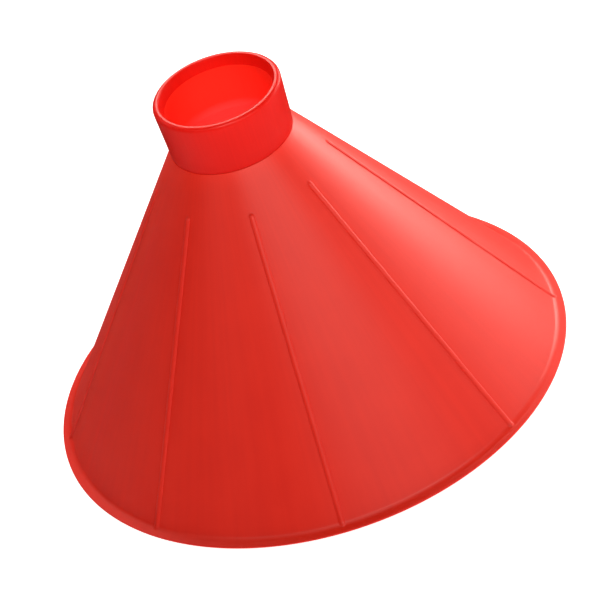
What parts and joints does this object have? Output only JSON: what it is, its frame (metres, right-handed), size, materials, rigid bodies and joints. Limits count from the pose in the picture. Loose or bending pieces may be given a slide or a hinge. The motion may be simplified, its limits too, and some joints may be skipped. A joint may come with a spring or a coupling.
{
  "type": "canning funnel",
  "caption": "Wide conical moulded funnel standing on its flanged mouth, with raised outside ribs and a short round neck collar on top.",
  "frame": {"origin": "centre of the mouth, in the plane of the rim that the funnel stands on", "axes": "+Z along the funnel's axis from the wide mouth up to the neck; +X runs through one of the outside ribs"},
  "size_m": [0.155, 0.155, 0.1045],
  "materials": {
    "shell_plastic": "satin",
    "collar_plastic": "satin"
  },
  "bodies": {
    "root": {"cone_shell": "shell_plastic", "neck_collar": "collar_plastic"}
  },
  "joints": []
}
